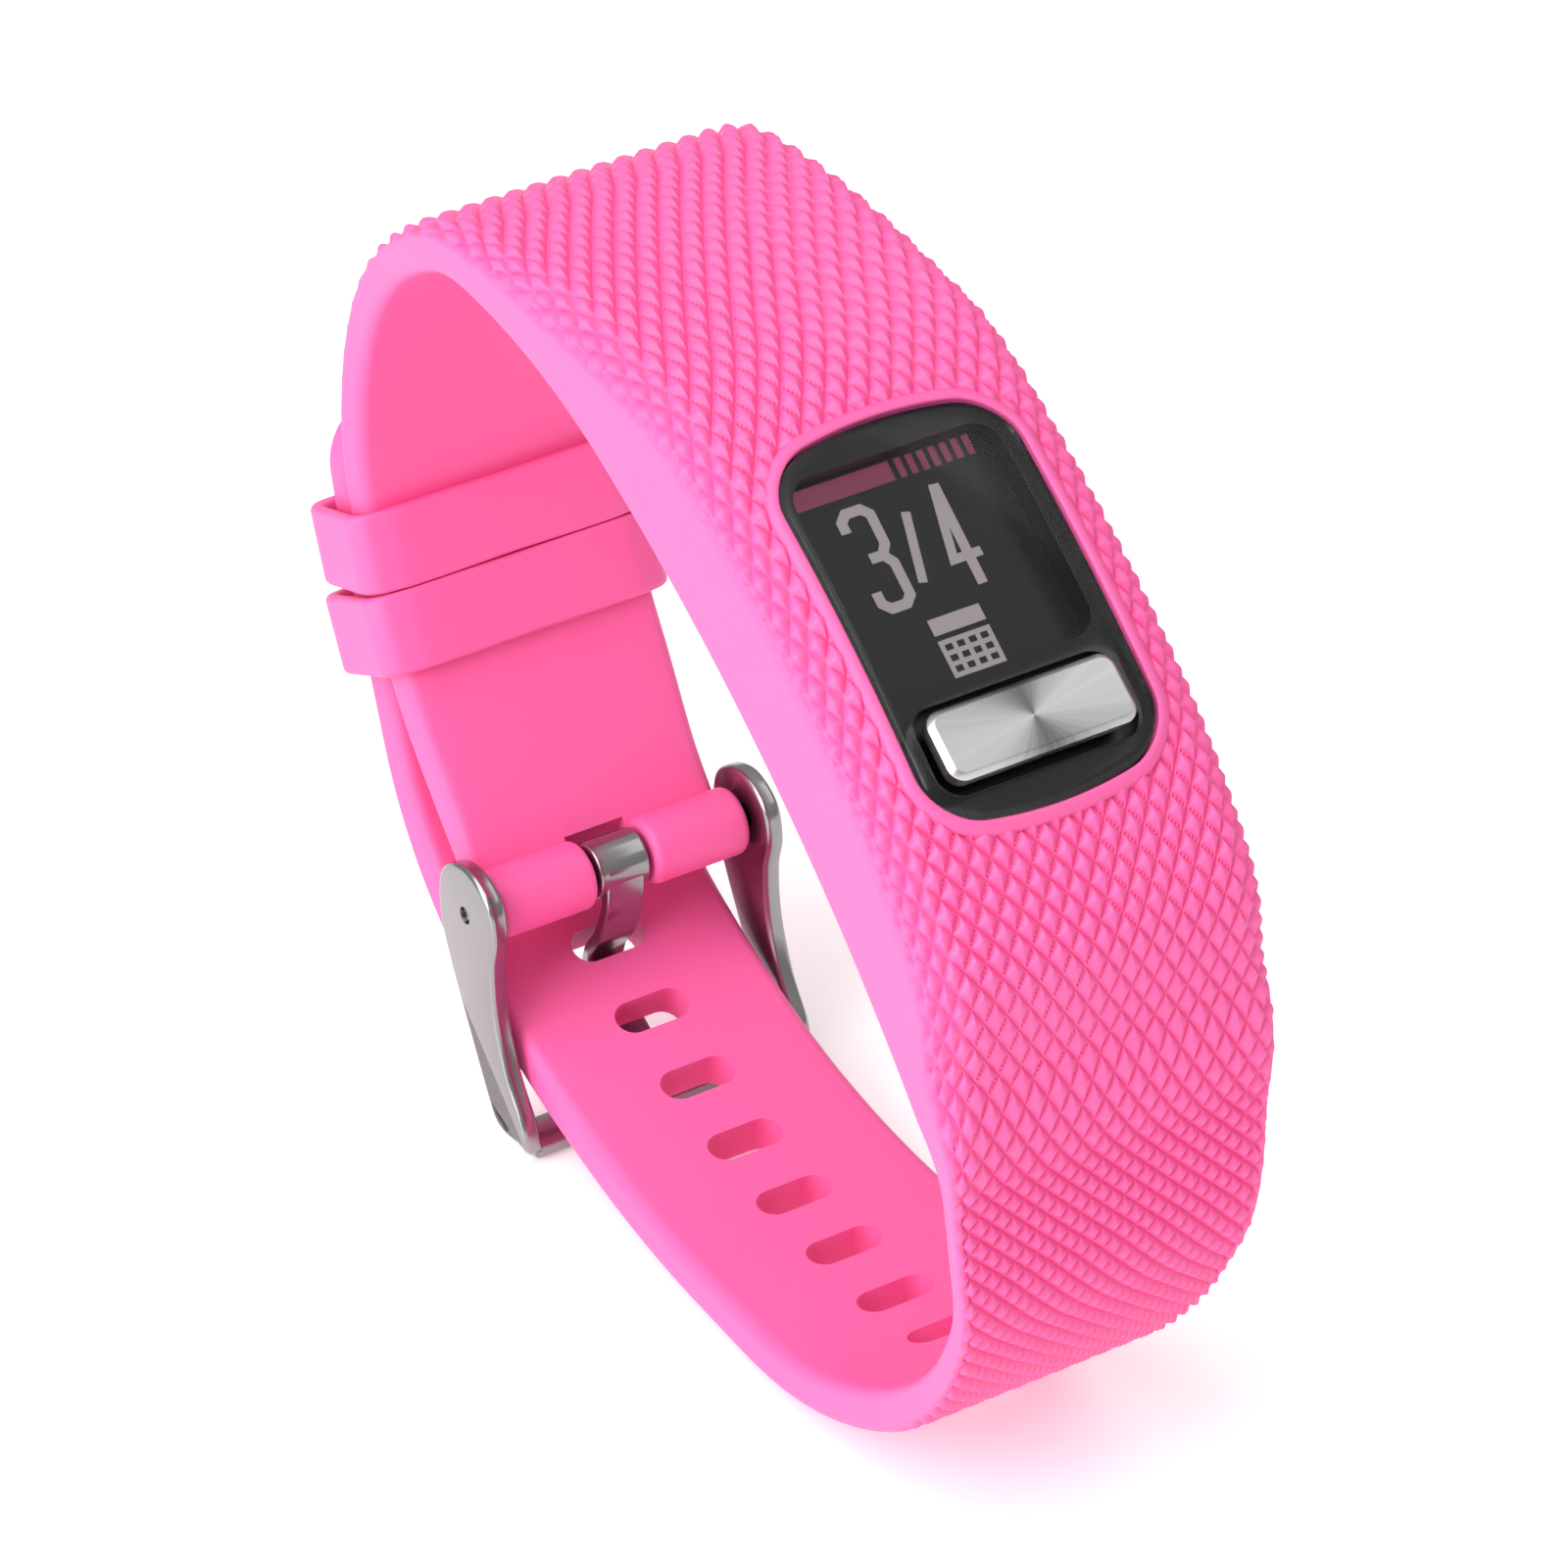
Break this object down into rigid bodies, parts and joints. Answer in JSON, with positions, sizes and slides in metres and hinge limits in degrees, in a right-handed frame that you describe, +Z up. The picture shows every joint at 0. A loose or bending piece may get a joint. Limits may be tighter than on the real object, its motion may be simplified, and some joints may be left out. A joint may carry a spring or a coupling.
{
  "type": "fitness tracker band",
  "caption": "Slim fitness tracker on a textured silicone wrist band, closed by a pin buckle and keepers, with a curved display face and a bar button.",
  "frame": {"origin": "on the surface the closed band stands on, under the middle of its outer box", "axes": "+Z up; +X along the wrist, to the wearer's side; the display looks towards -Y and up; the buckle and keepers are at +Y"},
  "size_m": [0.0204, 0.068, 0.0605],
  "materials": {
    "silicone": "matte pink silicone",
    "seal": "black seal rubber",
    "steel": "satin steel",
    "button_metal": "radially brushed with bright edges",
    "black_plastic": "gloss black",
    "lens": "clear hard-coated window",
    "screen": "reflective colour display",
    "grey_plastic": "matte",
    "board": "green solder mask",
    "chip": "matte black package",
    "contact_metal": "gold plated",
    "cell_metal": "nickel plated"
  },
  "bodies": {
    "strap": {"band": "silicone", "spring_bar_tube": "steel", "spring_bar_coil": "steel"},
    "tracker_module": {"module_case": "black_plastic", "face_lens": "lens", "display_panel": "screen", "display_connector": "contact_metal", "button_seal": "seal", "tact_switch": "cell_metal", "main_board": "board", "board_chips": "chip", "antenna_strip": "contact_metal", "battery_cradle": "grey_plastic", "battery_cell_upper": "cell_metal", "battery_cell_lower": "cell_metal", "cell_bridge": "contact_metal", "cell_contacts": "contact_metal", "back_cover": "steel", "back_cover_seal": "seal", "back_cover_screws": "steel"},
    "button": {"button_cap": "button_metal", "button_stem": "black_plastic"},
    "upper_loop": {"keeper_upper": "silicone"},
    "lower_loop": {"keeper_lower": "silicone"},
    "buckle": {"buckle_frame": "steel"},
    "tongue": {"buckle_tongue": "steel"},
    "left_tip": {"spring_bar_tip_left": "steel"},
    "right_tip": {"spring_bar_tip_right": "steel"}
  },
  "joints": [
    {"name": "module_release", "type": "slide", "parent": "strap", "child": "tracker_module", "axis": [0, 0.5796, -0.8149], "range_m": [0, 0.012]},
    {"name": "button_press", "type": "slide", "parent": "tracker_module", "child": "button", "axis": [0, 0.5796, -0.8149], "range_m": [0, 0.00035], "stiffness_N_per_m": 900, "springref_m": -0.0005},
    {"name": "upper_keeper_slide", "type": "slide", "parent": "strap", "child": "upper_loop", "axis": [0, 0.3545, 0.9351], "range_m": [0, 0.0002]},
    {"name": "lower_keeper_slide", "type": "slide", "parent": "strap", "child": "lower_loop", "axis": [0, -0.4578, -0.8891], "range_m": [0, 0.001]},
    {"name": "buckle_swing", "type": "hinge", "parent": "strap", "child": "buckle", "pos_m": [0, 0.01631, 0.01397], "axis": [1, 0, 0], "range_deg": [0, 110]},
    {"name": "tongue_swing", "type": "hinge", "parent": "strap", "child": "tongue", "pos_m": [0, 0.01631, 0.01397], "axis": [1, 0, 0], "range_deg": [-0.8, 0]},
    {"name": "left_tip_slide", "type": "slide", "parent": "strap", "child": "left_tip", "axis": [1, 0, 0], "range_m": [0, 0.001], "stiffness_N_per_m": 400, "springref_m": -0.001, "deforming": ["spring_bar_coil"]},
    {"name": "right_tip_slide", "type": "slide", "parent": "strap", "child": "right_tip", "axis": [-1, 0, 0], "range_m": [0, 0.001], "stiffness_N_per_m": 400, "springref_m": -0.001, "deforming": ["spring_bar_coil"]}
  ]
}
